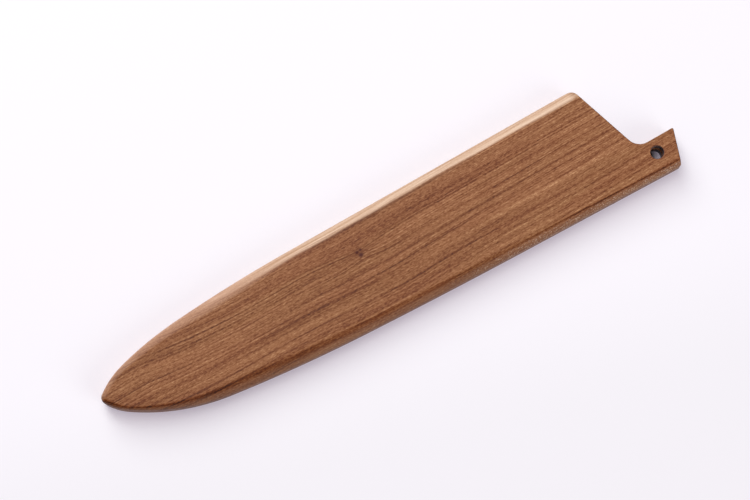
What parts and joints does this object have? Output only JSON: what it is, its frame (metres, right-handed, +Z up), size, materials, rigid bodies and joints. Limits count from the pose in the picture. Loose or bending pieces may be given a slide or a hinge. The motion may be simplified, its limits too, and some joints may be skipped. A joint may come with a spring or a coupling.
{
  "type": "knife blade guard",
  "caption": "Flat wooden blade guard for a long kitchen knife: two walnut cheeks over a slotted core, with a slanted open mouth and a drilled tab for a retaining pin.",
  "frame": {"origin": "middle of the bounding box in plan, on the underside that the guard lies on", "axes": "+X along the guard from the tip to the tab, +Y from the edge side to the spine side, +Z up through the thickness"},
  "size_m": [0.2655, 0.0512, 0.012],
  "materials": {
    "upper_walnut": "fine-sanded walnut with a satin oil finish, pale sapwood along the spine",
    "lower_walnut": "fine-sanded walnut with a satin oil finish",
    "sapwood": "pale walnut sapwood, fine-sanded, satin",
    "core_walnut": "darker walnut, fine-sanded, satin"
  },
  "bodies": {
    "root": {"upper_cheek": "upper_walnut", "lower_cheek": "lower_walnut", "spine_strip": "sapwood", "edge_strip": "core_walnut"}
  },
  "joints": []
}
